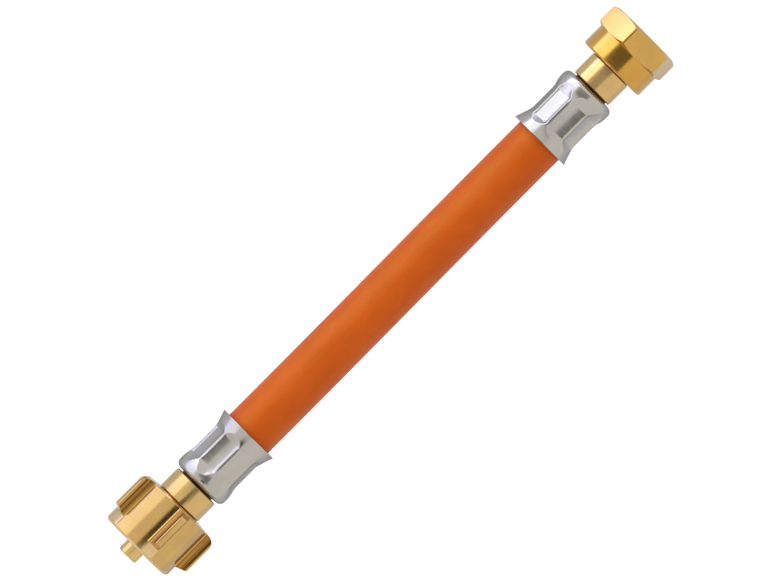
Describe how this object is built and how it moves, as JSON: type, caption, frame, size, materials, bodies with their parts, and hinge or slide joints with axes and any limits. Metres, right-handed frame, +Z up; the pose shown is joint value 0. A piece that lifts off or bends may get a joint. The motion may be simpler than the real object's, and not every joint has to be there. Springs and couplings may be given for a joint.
{
  "type": "flexible gas hose",
  "caption": "Flexible rubber gas hose with crimped brass end fittings: a winged union nut for a gas bottle and a hexagon union nut for an appliance.",
  "frame": {"origin": "the middle of the bottom of the bounding box: z = 0 is the surface that the hose lies on, under the two wings of the winged nut and the flat of the hexagon nut", "axes": "+X along the hose towards the hexagon nut, +Z up, +Y sideways"},
  "size_m": [0.2196, 0.0308, 0.0294],
  "materials": {
    "brass": "bright turned brass, lightly brushed",
    "ferrule_steel": "zinc-plated pressed steel, satin bright",
    "hose_rubber": "satin orange rubber"
  },
  "bodies": {
    "root": {"hose": "hose_rubber", "bottle_ferrule": "ferrule_steel", "appliance_ferrule": "ferrule_steel", "bottle_nipple": "brass", "appliance_nipple": "brass"},
    "bottle_nut": {"winged_union_nut": "brass"},
    "appliance_nut": {"hex_union_nut": "brass"}
  },
  "joints": [
    {"name": "bottle_nut_turn", "type": "hinge", "parent": "root", "child": "bottle_nut", "pos_m": [-0.0969, 0, 0.01341], "axis": [-1, 0, 0], "continuous": true},
    {"name": "appliance_nut_turn", "type": "hinge", "parent": "root", "child": "appliance_nut", "pos_m": [0.1024, 0, 0.0115], "axis": [1, 0, 0], "continuous": true}
  ]
}
